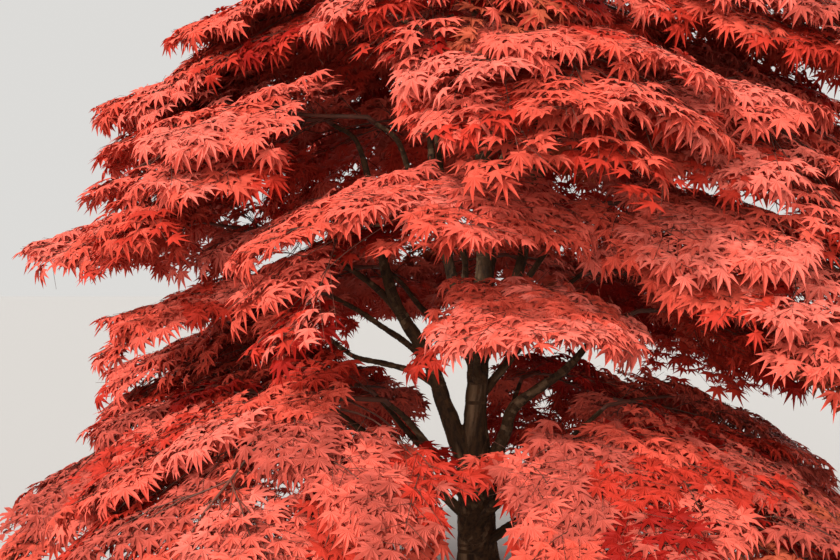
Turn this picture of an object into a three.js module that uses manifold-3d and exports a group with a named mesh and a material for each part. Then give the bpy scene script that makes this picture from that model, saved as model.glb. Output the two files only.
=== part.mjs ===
// A red japanese maple with a layered, weeping crown, growing out of level ground.
// Millimetres, +Z up. The origin is on the ground, in the middle of the trunk's flat cut.
// The front of the tree faces -Y. An azimuth is in degrees from +X, anticlockwise from above.
import * as THREE from "three";
import { mergeVertices } from "three/addons/utils/BufferGeometryUtils.js";
import Module from "manifold-3d";

const wasm = await Module();
wasm.setup();

const clearance = 0.3; // between two pieces that meet
const slopeStep = 0.02; // the step, in shares of a pad, that its slope is measured over
const halvings = 24; // of the range in which a height is looked for
const fullTurn = Math.PI * 2;
const up = new THREE.Vector3(0, 0, 1);

// The trunk: where its middle runs, and how thick it is at each height.
const trunkMiddle = [
  { height: 0, x: 0, y: 0 },
  { height: 120, x: 0, y: 0 },
  { height: 730, x: -14, y: 6 },
  { height: 1200, x: 4, y: 0 },
  { height: 1650, x: 34, y: 28 },
  { height: 2150, x: 16, y: 46 },
  { height: 2940, x: 0, y: 0 },
];
const trunkSides = 12;
const trunkSteps = 14;
const trunkWaist = 84; // radius above the root flare
const trunkTip = 11;
const forkHeight = 620; // the stems part here, and the trunk thins above it
const forkLength = 330; // how far up the thinning goes
const forkShare = 0.68; // of the waist that is left above the fork
const taperPower = 0.65; // under 1, the trunk keeps its thickness for longer
const flareHeight = 170;
const flareReach = 58; // how much wider the foot is
const rootRidges = 5;
const ridgeDepth = 0.16; // share of the radius, at the foot
const ridgeLasting = 0.3; // share of that depth which runs on up to the fork

// Boughs.
const boughSides = 5;
const boughSteps = 4;
const boughTip = 10.5; // radius where a bough ends and its foliage begins
const boughCrook = 26; // how far a bough strays sideways
const boughBends = [0.34, 0.68]; // where it strays, as shares of its way
const boughTaper = 1.15; // over 1, a bough thins sooner
const collar = 0.45; // how much wider a bough is where it leaves its limb, as a share
const collarFade = 14; // the higher, the shorter the collar
const arrival = 120; // the last straight stretch of a bough
const boughSeed = { first: 101, step: 17 };

// A mass of foliage is one stem, pairs of twigs from it, and leaves on them all. A leaf here
// stands for a spray, so it is larger than a single leaf.
const stemSteps = 4;
const stemStray = 0.07; // how far the stem strays, as a share of the half width
const stemBends = [0.34, 0.67]; // where it strays, as shares of its length
const stemStart = 40; // the first straight stretch of the stem
const lastRoot = 0.97; // nothing grows on the stem past this share of it
const twigBase = 0.7; // a twig's radius at its root, as a share of the stem's there
const twigTip = 4;
const firstTwigs = 0.1; // where the first pair of twigs leaves, as a share of the pad
const lastTwigs = 0.66;
const twigLead = 0.2; // how much further out a twig ends
const twigLeadStray = 0.04;
const twigReach = 0.74; // how far out to the side a twig ends, as a share of the width there
const twigReachStray = 0.06;
const stalkLength = 52; // of a leaf that grows on the stem
const stalkRise = 24; // how far that stalk climbs over the stem
const stalkBase = 3.5;
const stemTurn = 27; // degrees that a leaf on the stem turns aside
const leafLength = 285; // from the middle of the leaf to the tip of its longest lobe
const leafSpread = 0.06; // how far that varies, as a share
const leafThickness = 11;
const leafPitch = 14; // degrees that a leaf hangs below its twig
const lobeDroop = 0.2; // how far the lobes' tips hang, as a share of the leaf's length
const padMiddle = 0.52; // where a pad is widest, as a share of its length
const padReach = 0.56; // from there to where its rounded outline ends
const sideFall = 0.3; // how far a pad's sides hang, as a share of the half width
const roomReach = 0.62; // a mass keeps to its own space, which is a little larger than its pad
const roomWidth = 1.22;
const roomDepth = 320; // above or below the pad's surface
const massSeed = { first: 503, step: 31 };
const leafGap = 2; // a twig or leaf nearer than this to another piece is skipped
const sliver = 0.05; // bumps smaller than this are smoothed away where pieces fuse

// A leaf that is in the way is tried again in other poses, in degrees, and then smaller.
const swings = [0, 14, -14, 28, -28];
const tilts = [0, -9, 9, -18, 18];
const shrinks = [1, 0.85, 0.7];

// A leaf's lobes, as the angle from the middle lobe and the length as a share of it.
const lobes = [
  { angle: 0, length: 1 },
  { angle: 50, length: 0.88 },
  { angle: 103, length: 0.64 },
];
const sinusLength = 0.44; // the notch between two lobes
const heelLength = 0.12; // from the middle of the leaf back to its stalk

// Each tier is a ring of arching pads of foliage, each held by its own bough. A pad's root is
// where its bough ends and its tip is where its last leaf ends, as radii and heights from the
// trunk's foot. rise is how far the pad bows up between the two.
const tiers = {
  skirt: { rootRadius: 690, tipRadius: 1880, tipHeight: 430, rise: 185, halfWidth: 620, pairs: 3 },
  middle: { rootRadius: 640, tipRadius: 1830, tipHeight: 1180, rise: 170, halfWidth: 580, pairs: 3 },
  upper: { rootRadius: 500, tipRadius: 1620, tipHeight: 1900, rise: 170, halfWidth: 560, pairs: 3 },
  crest: { rootRadius: 330, tipRadius: 1270, tipHeight: 2420, rise: 160, halfWidth: 520, pairs: 3 },
  top: { rootRadius: 0, tipRadius: 740, tipHeight: 2930, rise: 125, halfWidth: 580, pairs: 2 },
};

// pad(tier, side, azimuth, height of the root, what differs from the tier, bough). A bough names
// the limb it leaves, the height where it leaves and its radius there. via lists its bends on the
// way out, as [azimuth, radius, height].
const pads = [
  pad("crest", "left", 176, 2600, { tipRadius: 1310, tipHeight: 2480 },
    { from: "trunk", height: 1150, radius: 29, via: [[170, 110, 1480], [172, 200, 2000]] }),
  pad("crest", "right", -22, 2620, { tipRadius: 1600, tipHeight: 2450 },
    { from: "trunk", height: 1130, radius: 30, via: [[-8, 160, 1470], [-15, 250, 2000]] }),
  pad("upper", "left", 170, 2160, { rootRadius: 640, tipRadius: 1650, tipHeight: 2270 },
    { from: "trunk", height: 600, radius: 44,
      via: [[178, 135, 920], [-176, 212, 1140], [-176, 360, 1400]] }),
  pad("middle", "right", -4, 1330, { tipRadius: 1960, tipHeight: 1000 },
    { from: "trunk", height: 560, radius: 36, via: [[-20, 120, 830], [-18, 150, 930], [-14, 370, 1100]] }),

  pad("skirt", "left", -172, 970, { tipRadius: 1990, tipHeight: 380 },
    { from: "trunk", height: 430, radius: 25 }),
  pad("skirt", "front_left", -122, 1010,
    { tipRadius: 2030, tipHeight: 470, halfWidth: 700, pairs: 4 },
    { from: "trunk", height: 500, radius: 27 }),
  pad("skirt", "front_right", -66, 850,
    { tipRadius: 2000, tipHeight: 450, halfWidth: 700, pairs: 4 },
    { from: "trunk", height: 400, radius: 25 }),
  pad("skirt", "right", -14, 780, { tipRadius: 1540, tipHeight: 400, halfWidth: 560 },
    { from: "trunk", height: 330, radius: 24 }),
  pad("skirt", "back_right", 32, 880, {},
    { from: "trunk", height: 440, radius: 24 }),
  pad("skirt", "back", 70, 980, { tipHeight: 480 },
    { from: "trunk", height: 360, radius: 24 }),
  pad("skirt", "back_left", 131, 930, {},
    { from: "trunk", height: 490, radius: 25 }),

  pad("middle", "left", -178, 1660, { rootRadius: 740, tipRadius: 1860, tipHeight: 1600 },
    { from: "bough_upper_left", height: 1340, radius: 17 }),
  pad("middle", "low_left", 156, 1200, { rootRadius: 700, tipRadius: 1800, tipHeight: 900 },
    { from: "bough_upper_left", height: 1030, radius: 18 }),
  pad("middle", "front_left", -162, 1410,
    { tipRadius: 1560, tipHeight: 1280, halfWidth: 380, rise: 120, pairs: 2 },
    { from: "bough_upper_left", height: 1120, radius: 17 }),
  pad("middle", "front", -106, 1760, { rootRadius: 500, tipRadius: 1560, tipHeight: 1440 },
    { from: "trunk", height: 1260, radius: 20 }),
  pad("middle", "centre", -83, 1370,
    { rootRadius: 620, tipRadius: 1440, halfWidth: 380, tipHeight: 1340, rise: 80, pairs: 2 },
    { from: "trunk", height: 1060, radius: 17 }),
  pad("middle", "front_right", -42, 1760, { rootRadius: 560, tipHeight: 1250 },
    { from: "trunk", height: 1100, radius: 21 }),
  pad("middle", "back_right", 40, 1500, {},
    { from: "trunk", height: 960, radius: 21 }),
  pad("middle", "back", 80, 1580, { tipHeight: 1300 },
    { from: "trunk", height: 1210, radius: 20 }),
  pad("middle", "back_left", 128, 1520, {},
    { from: "trunk", height: 1080, radius: 20 }),

  pad("upper", "front_left", -150, 2120, { tipHeight: 1800, halfWidth: 500 },
    { from: "bough_crest_left", height: 1640, radius: 18 }),
  pad("upper", "front", -80, 2300, { tipHeight: 2000 },
    { from: "trunk", height: 1690, radius: 18 }),
  pad("upper", "front_right", -38, 2220, { tipHeight: 1780 },
    { from: "bough_crest_right", height: 1620, radius: 18 }),
  pad("upper", "right", 12, 2340, { tipRadius: 1830, tipHeight: 2060 },
    { from: "bough_crest_right", height: 1800, radius: 17 }),
  pad("upper", "back_right", 66, 2180, {},
    { from: "trunk", height: 1580, radius: 18 }),
  pad("upper", "back_left", 118, 2240, {},
    { from: "bough_crest_left", height: 1820, radius: 17 }),

  pad("crest", "front", -98, 2700, {},
    { from: "trunk", height: 2180, radius: 15 }),
  pad("crest", "back_right", 46, 2640, {},
    { from: "trunk", height: 2010, radius: 15 }),
  pad("crest", "back", 108, 2680, {},
    { from: "trunk", height: 2290, radius: 15 }),

  // The top mass has a leader on the trunk's tip, with an arm to each side.
  pad("top", "spread", -75, 2940, { arms: [0, 180], leader: 60 }, null),
];

function pad(tier, side, azimuth, rootHeight, changes, bough) {
  const name = `${tier}_${side}`;
  return { ...tiers[tier], arms: [0], leader: 0, name, azimuth, rootHeight, ...changes, bough };
}

function seeded(seed) {
  let state = seed;
  return () => {
    state = (state * 16807) % 2147483647;
    return state / 2147483647;
  };
}

function spread(random, reach) {
  return (random() * 2 - 1) * reach;
}

function polar(azimuth, radius, height) {
  const turn = THREE.MathUtils.degToRad(azimuth);
  return new THREE.Vector3(radius * Math.cos(turn), radius * Math.sin(turn), height);
}

// A closed solid over a row of rings. A flat cap ends it, or the blade of a leaf.
function skin(rings, blade = null) {
  const sides = rings[0].length;
  const last = (rings.length - 1) * sides;
  const faces = [];
  for (let i = 0; i < last; i += sides) {
    for (let k = 0; k < sides; k++) {
      const a = i + k;
      const b = i + ((k + 1) % sides);
      faces.push(a, b, b + sides, a, b + sides, a + sides);
    }
  }
  for (let k = 1; k < sides - 1; k++) {
    faces.push(0, k + 1, k);
    if (!blade) faces.push(last, last + k, last + k + 1);
  }
  if (blade) faces.push(...bladeFaces(last, blade.length));
  const points = blade ? [...rings.flat(), ...blade] : rings.flat();
  const vertProperties = new Float32Array(points.flatMap((point) => point.toArray()));
  const triVerts = new Uint32Array(faces);
  return new wasm.Manifold(new wasm.Mesh({ numProp: 3, vertProperties, triVerts }));
}

function ring(middle, across, along, sides, radiusAt) {
  return Array.from({ length: sides }, (_, k) => {
    const turn = (k / sides) * fullTurn;
    const radius = radiusAt(turn);
    return middle
      .clone()
      .addScaledVector(across, radius * Math.cos(turn))
      .addScaledVector(along, radius * Math.sin(turn));
  });
}

// The trunk's radius: a ridged root flare at the foot, a drop where the stems part, and an even
// taper to the tip.
function trunkRadius(height, turn) {
  const topHeight = trunkMiddle.at(-1).height;
  const thinned = THREE.MathUtils.smoothstep(height, forkHeight, forkHeight + forkLength);
  const waist = trunkWaist * (1 - (1 - forkShare) * thinned);
  const taper = Math.pow(Math.max(0, 1 - height / topHeight), taperPower);
  const flare = Math.exp(-height / flareHeight);
  const depth = ridgeDepth * (ridgeLasting + (1 - ridgeLasting) * flare) * (1 - thinned);
  const ridge = 1 + depth * Math.cos(rootRidges * turn);
  return (trunkTip + (waist - trunkTip) * taper + flareReach * flare) * ridge;
}

// The trunk's rings are level, so its foot is a flat cut on the ground.
function makeTrunk() {
  const points = trunkMiddle.map(({ x, y, height }) => new THREE.Vector3(x, y, height));
  const curve = new THREE.CatmullRomCurve3(points, false, "centripetal");
  const forward = new THREE.Vector3(1, 0, 0);
  const sideways = new THREE.Vector3(0, 1, 0);
  const shape = (grown) =>
    skin(
      Array.from({ length: trunkSteps + 1 }, (_, i) => {
        const middle = curve.getPointAt(i / trunkSteps);
        const radiusAt = (turn) => trunkRadius(middle.z, turn) + grown;
        return ring(middle, forward, sideways, trunkSides, radiusAt);
      }),
    );
  return { curve, solid: shape(0), grown: shape(clearance / Math.cos(Math.PI / trunkSides)) };
}

// A pad's own frame: outward and sideways run level, and the middle surface arches between the
// root and the tip. share is 0 at the root and 1 at the tip. side is -1 to 1 across the width.
class PadFrame {
  constructor({ rootRadius, rootHeight, tipRadius, tipHeight, rise, halfWidth, leader }, azimuth) {
    this.root = polar(azimuth, rootRadius, rootHeight);
    this.outward = polar(azimuth, 1, 0);
    this.sideways = new THREE.Vector3().crossVectors(up, this.outward);
    this.length = tipRadius - rootRadius;
    this.halfWidth = halfWidth;
    this.leader = leader;
    this.rise = rise;
    this.drop = tipHeight - rootHeight - leader;
    this.sideDrop = sideFall * halfWidth;
  }

  height(share, side) {
    const arch = this.drop * share * share + 4 * this.rise * share * (1 - share);
    return this.root.z + this.leader + arch - this.sideDrop * side * side;
  }

  point(share, side) {
    return this.root
      .clone()
      .addScaledVector(this.outward, this.length * share)
      .addScaledVector(this.sideways, this.halfWidth * side)
      .setZ(this.height(share, side));
  }

  normal(share, side) {
    const along = this.point(share + slopeStep, side).sub(this.point(share - slopeStep, side));
    const across = this.point(share, side + slopeStep).sub(this.point(share, side - slopeStep));
    return along.cross(across).normalize();
  }

  // The direction in which the stem sets off.
  setOff() {
    if (this.leader) return up.clone();
    return this.outward.clone().multiplyScalar(this.length).setZ(4 * this.rise).normalize();
  }

  // How wide the rounded outline is at a share of the length, from 0 to 1.
  width(share) {
    const across = (share - padMiddle) / padReach;
    return Math.sqrt(Math.max(0, 1 - across * across));
  }

  holds(point) {
    const offset = point.clone().sub(this.root);
    const share = offset.dot(this.outward) / this.length;
    const side = offset.dot(this.sideways) / this.halfWidth;
    const inOutline = Math.hypot((share - padMiddle) / roomReach, side / roomWidth) <= 1;
    return inOutline && Math.abs(point.z - this.height(share, side)) <= roomDepth;
  }
}

function atHeight(curve, height) {
  let low = 0;
  let high = 1;
  for (let i = 0; i < halvings; i++) {
    const middle = (low + high) / 2;
    if (curve.getPoint(middle).z < height) low = middle;
    else high = middle;
  }
  return curve.getPoint(low);
}

// A bough leaves its limb's middle, strays a little, and arrives along its pad's stem. It is cut
// clear of the limbs that were there before it.
function makeBough({ bough }, frame, limbs, random) {
  const start = atHeight(limbs[bough.from].curve, bough.height);
  const before = frame.root.clone().addScaledVector(frame.setOff(), -arrival);
  const bends = bough.via
    ? bough.via.map(([azimuth, radius, height]) => polar(azimuth, radius, height))
    : boughBends.map((share) =>
        start
          .clone()
          .lerp(before, share)
          .addScaledVector(frame.sideways, spread(random, boughCrook))
          .addScaledVector(up, boughCrook * (1 - share)),
      );
  const way = [start, ...bends, before, frame.root];
  const curve = new THREE.CatmullRomCurve3(way, false, "centripetal");
  const steps = boughSteps + bends.length;
  const { normals, binormals } = curve.computeFrenetFrames(steps, false);
  const shape = (grown) =>
    skin(
      normals.map((normal, i) => {
        const share = i / steps;
        const thinning = boughTip + (bough.radius - boughTip) * Math.pow(1 - share, boughTaper);
        const radius = thinning * (1 + collar * Math.exp(-share * collarFade)) + grown;
        return ring(curve.getPointAt(share), normal, binormals[i], boughSides, () => radius);
      }),
    );
  const whole = shape(0);
  const met = Object.values(limbs).filter((limb) => boxesMeet(whole, limb.grown, 0));
  const solid = biggest(wasm.Manifold.difference([whole, ...met.map((limb) => limb.grown)]));
  return { curve, solid, grown: shape(clearance / Math.cos(Math.PI / boughSides)) };
}

function biggest(solid) {
  return solid.decompose().sort((a, b) => b.volume() - a.volume())[0];
}

// The faces that close a stalk's last ring, of three corners, with a blade. The blade's first two
// points are the middle of its upper and its under side, and the rest run round its lobes.
function bladeFaces(last, count) {
  const [crest, right, left, top, under] = [0, 1, 2, 3, 4].map((i) => last + i);
  const edge = [right, ...Array.from({ length: count - 2 }, (_, i) => last + 5 + i), left];
  const faces = [top, left, crest, top, crest, right, under, right, left];
  for (let i = 0; i < edge.length - 1; i++) {
    faces.push(top, edge[i], edge[i + 1], under, edge[i + 1], edge[i]);
  }
  return faces;
}

// The points of a palmate blade: a drooping star that is thickest in its middle.
function bladePoints(place, size) {
  const points = [leafThickness / 2, -leafThickness / 2].map((z) => new THREE.Vector3(0, 0, z));
  const add = (angle, length) => {
    const turn = THREE.MathUtils.degToRad(angle);
    const drop = -lobeDroop * length * length * size;
    points.push(new THREE.Vector3(length * Math.cos(turn) * size, length * Math.sin(turn) * size, drop));
  };
  for (let i = lobes.length - 1; i > 0; i--) {
    add(-lobes[i].angle, lobes[i].length);
    add(-(lobes[i].angle + lobes[i - 1].angle) / 2, sinusLength);
  }
  add(0, lobes[0].length);
  for (let i = 1; i < lobes.length; i++) {
    add((lobes[i].angle + lobes[i - 1].angle) / 2, sinusLength);
    add(lobes[i].angle, lobes[i].length);
  }
  return points.map((point) => point.applyMatrix4(place));
}

// Where a leaf goes: its stalk ends at a point, and its middle lobe points forward and down.
function leafPlace(at, forward, normal, pitch, size) {
  const left = new THREE.Vector3().crossVectors(normal, forward).normalize();
  const ahead = new THREE.Vector3().crossVectors(left, normal);
  ahead.applyAxisAngle(left, THREE.MathUtils.degToRad(pitch));
  const face = new THREE.Vector3().crossVectors(ahead, left);
  const middle = at.clone().addScaledVector(ahead, heelLength * size);
  return new THREE.Matrix4().makeBasis(ahead, left, face).setPosition(middle);
}

// A shoot: a three-sided stalk along a path, and the leaf that ends it.
function makeShoot(path, left, base, place, size) {
  const last = path.length - 1;
  const rings = path.map((point, i) => {
    const ahead = path[Math.min(i + 1, last)].clone().sub(path[Math.max(i - 1, 0)]).normalize();
    const aside = i < last ? left : new THREE.Vector3().setFromMatrixColumn(place, 1);
    const crest = new THREE.Vector3().crossVectors(ahead, aside).normalize();
    const right = new THREE.Vector3().crossVectors(ahead, crest);
    const radius = THREE.MathUtils.lerp(base, twigTip, i / last);
    return ring(point, crest, right, 3, () => radius);
  });
  const points = bladePoints(place, size);
  return { path, points, solid: skin(rings, points), blade: skin([rings.at(-1)], points) };
}

function boxesMeet(a, b, gap) {
  const one = a.boundingBox();
  const two = b.boundingBox();
  return [0, 1, 2].every((i) => one.min[i] - gap <= two.max[i] && two.min[i] - gap <= one.max[i]);
}

function touches(solid, others) {
  return others.some(
    (other) => boxesMeet(solid, other, leafGap) && solid.minGap(other, leafGap) < leafGap,
  );
}

// One arm of a mass: it adds its shoots to the mass's list.
function growArm(frame, pairs, holder, others, shoots, random) {
  // A leaf turns and tilts until it crosses nothing. Its stalk may meet only what it grows from.
  const grow = (parent, path, left, base, forward, normal) => {
    const size = leafLength * (1 + spread(random, leafSpread));
    const grown = shoots.map((shoot) => shoot.solid);
    const strangers = shoots.filter((shoot) => shoot !== parent && shoot.path[0] !== path[0]);
    const apart = [...others, ...strangers.map((shoot) => shoot.solid)];
    for (const shrink of shrinks) {
      for (const tilt of tilts) {
        for (const swing of swings) {
          const heading = forward.clone().applyAxisAngle(normal, THREE.MathUtils.degToRad(swing));
          const place = leafPlace(path.at(-1), heading, normal, leafPitch + tilt, size * shrink);
          const shoot = makeShoot(path, left, base, place, size * shrink);
          const inside = shoot.points.every((point) => frame.holds(point));
          if (!inside || touches(shoot.solid, apart)) continue;
          if (touches(shoot.blade, [...grown, holder])) continue;
          shoots.push(shoot);
          return shoot;
        }
      }
    }
    return null;
  };

  const stemEnd = 1 - (leafLength * (1 + heelLength)) / frame.length;
  const start = frame.root.clone().addScaledVector(frame.setOff(), clearance);
  const stray = [spread(random, stemStray), spread(random, stemStray)];
  const stemCurve = new THREE.CatmullRomCurve3(
    [
      start.clone().addScaledVector(frame.setOff(), frame.leader || stemStart),
      ...stemBends.map((share, i) => frame.point(share * stemEnd, stray[i])),
      frame.point(stemEnd, 0),
    ],
    false,
    "centripetal",
  );
  const stemPoints = stemCurve.getSpacedPoints(stemSteps);
  const onStem = (share) => {
    const place = Math.min(share / stemEnd, lastRoot) * stemSteps;
    const i = Math.floor(place);
    return stemPoints[i].clone().lerp(stemPoints[i + 1], place - i);
  };
  const stemPath = [start, ...stemPoints];
  const onward = stemCurve.getTangent(1);
  const stem = grow(shoots[0], stemPath, frame.sideways, boughTip, onward, frame.normal(stemEnd, 0));
  if (!stem) throw new Error("a stem has no room");

  const shareOf = (pair) => THREE.MathUtils.lerp(firstTwigs, lastTwigs, pair / (pairs - 1));
  const levelLeft = (forward) => new THREE.Vector3().crossVectors(up, forward).normalize();
  for (let pair = 0; pair < pairs; pair++) {
    const from = onStem(shareOf(pair));
    const base = twigBase * THREE.MathUtils.lerp(boughTip, twigTip, shareOf(pair) / stemEnd);
    for (const hand of [1, -1]) {
      const endShare = shareOf(pair) + twigLead + spread(random, twigLeadStray);
      const endSide = hand * frame.width(endShare) * (twigReach + spread(random, twigReachStray));
      const to = frame.point(endShare, endSide);
      const away = to.clone().sub(from).normalize();
      grow(stem, [from, to], levelLeft(away), base, away, frame.normal(endShare, endSide));
    }
  }

  // Between the pairs of twigs a leaf stands on a stalk over the stem, turned to either hand.
  for (let pair = 0.5; pair < pairs - 1; pair++) {
    const share = shareOf(pair);
    const turn = Math.floor(pair) % 2 ? -stemTurn : stemTurn;
    const forward = frame.point(share + slopeStep, 0).sub(frame.point(share, 0)).normalize();
    forward.applyAxisAngle(up, THREE.MathUtils.degToRad(turn));
    const from = onStem(share);
    const to = from.clone().addScaledVector(forward, stalkLength).addScaledVector(up, stalkRise);
    grow(stem, [from, to], levelLeft(forward), stalkBase, forward, frame.normal(share, 0));
  }
}

// A mass of foliage: its arms, fused into one solid.
function makeFoliage({ pairs, arms }, frames, holder, others, random) {
  const shoots = [];
  arms.forEach((_, i) => growArm(frames[i], pairs, holder, others, shoots, random));
  return biggest(wasm.Manifold.union(shoots.map((shoot) => shoot.solid))).simplify(sliver);
}

const bark = new THREE.MeshStandardMaterial({ color: 0x4a3521, roughness: 0.9, metalness: 0 });
const youngBark = new THREE.MeshStandardMaterial({ color: 0x5a3b26, roughness: 0.85, metalness: 0 });
const leafRed = new THREE.MeshStandardMaterial({ color: 0xc8402f, roughness: 0.6, metalness: 0 });

function meshOf(name, solid, material) {
  const { vertProperties, triVerts, numProp } = solid.getMesh();
  const geometry = new THREE.BufferGeometry()
    .setAttribute("position", new THREE.BufferAttribute(new Float32Array(vertProperties), numProp))
    .setIndex(new THREE.BufferAttribute(new Uint32Array(triVerts), 1));
  const mesh = new THREE.Mesh(mergeVertices(geometry), material);
  mesh.geometry.computeVertexNormals();
  mesh.name = name;
  return mesh;
}

function makeTree() {
  const tree = new THREE.Group();
  const limbs = { trunk: makeTrunk() };
  const frames = pads.map((entry) =>
    entry.arms.map((turn) => new PadFrame(entry, entry.azimuth + turn)),
  );
  pads.forEach((entry, i) => {
    if (!entry.bough) return;
    const random = seeded(boughSeed.first + i * boughSeed.step);
    limbs[`bough_${entry.name}`] = makeBough(entry, frames[i][0], limbs, random);
  });
  for (const [name, limb] of Object.entries(limbs)) {
    tree.add(meshOf(name, limb.solid, name === "trunk" ? bark : youngBark));
  }
  const masses = [];
  pads.forEach((entry, i) => {
    const holder = limbs[entry.bough ? `bough_${entry.name}` : "trunk"].solid;
    const others = Object.values(limbs).map((limb) => limb.solid).filter((solid) => solid !== holder);
    const random = seeded(massSeed.first + i * massSeed.step);
    masses.push(makeFoliage(entry, frames[i], holder, [...others, ...masses], random));
    tree.add(meshOf(`foliage_${entry.name}`, masses.at(-1), leafRed));
  });
  return tree;
}

export default makeTree();
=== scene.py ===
# A red japanese maple with a layered, weeping crown, growing out of level ground.
# Metres, +Z up. The front of the tree faces -Y. An azimuth is in degrees from +X.
import math

import bmesh
import bpy
import numpy as np
from mathutils import Matrix, Vector, kdtree, noise


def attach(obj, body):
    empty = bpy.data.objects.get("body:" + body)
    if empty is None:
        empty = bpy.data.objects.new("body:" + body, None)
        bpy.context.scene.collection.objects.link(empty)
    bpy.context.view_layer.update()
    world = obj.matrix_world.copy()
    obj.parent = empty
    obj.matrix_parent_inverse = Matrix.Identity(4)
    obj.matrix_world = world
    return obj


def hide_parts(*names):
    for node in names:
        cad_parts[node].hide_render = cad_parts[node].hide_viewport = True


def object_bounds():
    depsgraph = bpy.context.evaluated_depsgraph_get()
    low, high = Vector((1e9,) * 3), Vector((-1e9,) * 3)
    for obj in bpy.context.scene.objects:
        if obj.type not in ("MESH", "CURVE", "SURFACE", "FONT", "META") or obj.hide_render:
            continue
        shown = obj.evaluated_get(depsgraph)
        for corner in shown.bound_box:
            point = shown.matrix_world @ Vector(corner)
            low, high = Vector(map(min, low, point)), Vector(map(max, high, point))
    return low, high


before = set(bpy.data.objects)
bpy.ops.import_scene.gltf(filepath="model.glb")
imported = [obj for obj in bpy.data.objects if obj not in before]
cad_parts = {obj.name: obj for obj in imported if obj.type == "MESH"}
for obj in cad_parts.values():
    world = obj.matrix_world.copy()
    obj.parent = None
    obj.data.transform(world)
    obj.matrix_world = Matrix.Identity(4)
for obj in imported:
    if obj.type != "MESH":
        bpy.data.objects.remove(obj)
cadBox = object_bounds()
up = Vector((0, 0, 1))
print("frame loaded:", len(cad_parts), "nodes")


def lerp(a, b, share):
    return a + (b - a) * share


def smoothStep(value, low, high):
    share = min(1, max(0, (value - low) / (high - low)))
    return share * share * (3 - 2 * share)


def seeded(seed):
    # the same row of numbers as the source draws, each from 0 to 1
    state = seed
    while True:
        state = state * 16807 % 2147483647
        yield state / 2147483647


def spread(draws, reach):
    return (next(draws) * 2 - 1) * reach


def polar(azimuth, radius, height):
    turn = math.radians(azimuth)
    return Vector((radius * math.cos(turn), radius * math.sin(turn), height))


def turned(vector, degrees):
    # turned about the upright axis, anticlockwise from above
    return Matrix.Rotation(math.radians(degrees), 3, "Z") @ vector


# A smooth path through points, a centripetal Catmull-Rom curve, stepped finely.
class LimbPath:
    def __init__(self, points, steps=40):
        points = [np.array(point, float) for point in points]
        first = 2 * points[0] - points[1]
        last = 2 * points[-1] - points[-2]
        ends = [first, *points, last]
        t = np.linspace(0, 1, steps, endpoint=False)[:, None]
        runs = []
        for i in range(len(points) - 1):
            a, b, c, d = ends[i:i + 4]
            ab, bc, cd = [math.sqrt(np.linalg.norm(q - p)) for p, q in ((a, b), (b, c), (c, d))]
            leave = ((b - a) / ab - (c - a) / (ab + bc) + (c - b) / bc) * bc
            arrive = ((c - b) / bc - (d - b) / (bc + cd) + (d - c) / cd) * bc
            square = -3 * b + 3 * c - 2 * leave - arrive
            cube = 2 * b - 2 * c + leave + arrive
            runs.append(b + leave * t + square * t**2 + cube * t**3)
        self.dense = np.vstack(runs + [points[-1][None]])
        lengths = np.linalg.norm(np.diff(self.dense, axis=0), axis=1)
        self.length = lengths.sum()
        self.shares = np.concatenate(([0], np.cumsum(lengths))) / self.length

    def at(self, share):
        return Vector([np.interp(share, self.shares, self.dense[:, i]) for i in range(3)])

    def atHeight(self, height):
        return Vector([np.interp(height, self.dense[:, 2], self.dense[:, i]) for i in range(3)])

    def along(self, share, step=0.02):
        return (self.at(min(1, share + step)) - self.at(max(0, share - step))).normalized()


# The trunk, as in the source: where its middle runs, and how thick it is at each height.
trunk = {
    "middle": [
        (0, 0, 0), (0, 0, 0.12), (-0.014, 0.006, 0.73), (0.004, 0, 1.2),
        (0.034, 0.028, 1.65), (0.016, 0.046, 2.15), (0, 0, 2.94),
    ],
    "waist": 0.084,
    "tip": 0.011,
    "forkHeight": 0.62,
    "forkLength": 0.33,
    "forkShare": 0.68,
    "taperPower": 0.65,
    "flareHeight": 0.17,
    "flareReach": 0.058,
    "ridges": 5,
    "ridgeDepth": 0.16,
    "ridgeLasting": 0.3,
}

boughs = {
    "tip": 0.0105,
    "crook": 0.026,
    "bends": [0.34, 0.68],
    "taper": 1.15,
    "collar": 0.45,
    "collarFade": 14,
    "arrival": 0.12,
    "seedFirst": 101,
    "seedStep": 17,
}

# Each tier is a ring of arching pads of foliage, each held by its own bough.
tiers = {
    "skirt": {"rootRadius": 0.69, "tipRadius": 1.88, "tipHeight": 0.43, "rise": 0.185,
              "halfWidth": 0.62, "pairs": 3},
    "middle": {"rootRadius": 0.64, "tipRadius": 1.83, "tipHeight": 1.18, "rise": 0.17,
               "halfWidth": 0.58, "pairs": 3},
    "upper": {"rootRadius": 0.5, "tipRadius": 1.62, "tipHeight": 1.9, "rise": 0.17,
              "halfWidth": 0.56, "pairs": 3},
    "crest": {"rootRadius": 0.33, "tipRadius": 1.27, "tipHeight": 2.42, "rise": 0.16,
              "halfWidth": 0.52, "pairs": 3},
    "top": {"rootRadius": 0, "tipRadius": 0.74, "tipHeight": 2.93, "rise": 0.125,
            "halfWidth": 0.58, "pairs": 2},
}


def pad(tier, side, azimuth, rootHeight, limb, leaves, radius, via=(), arms=(0,), leader=0, **changes):
    # limb and leaves say which limb the pad's bough grows from, and at what height
    return {
        **tiers[tier], "name": f"{tier}_{side}", "tier": tier, "azimuth": azimuth,
        "rootHeight": rootHeight, "limb": limb, "leaves": leaves, "radius": radius, "via": via,
        "arms": arms, "leader": leader, "thin": False, **changes,
    }


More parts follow.
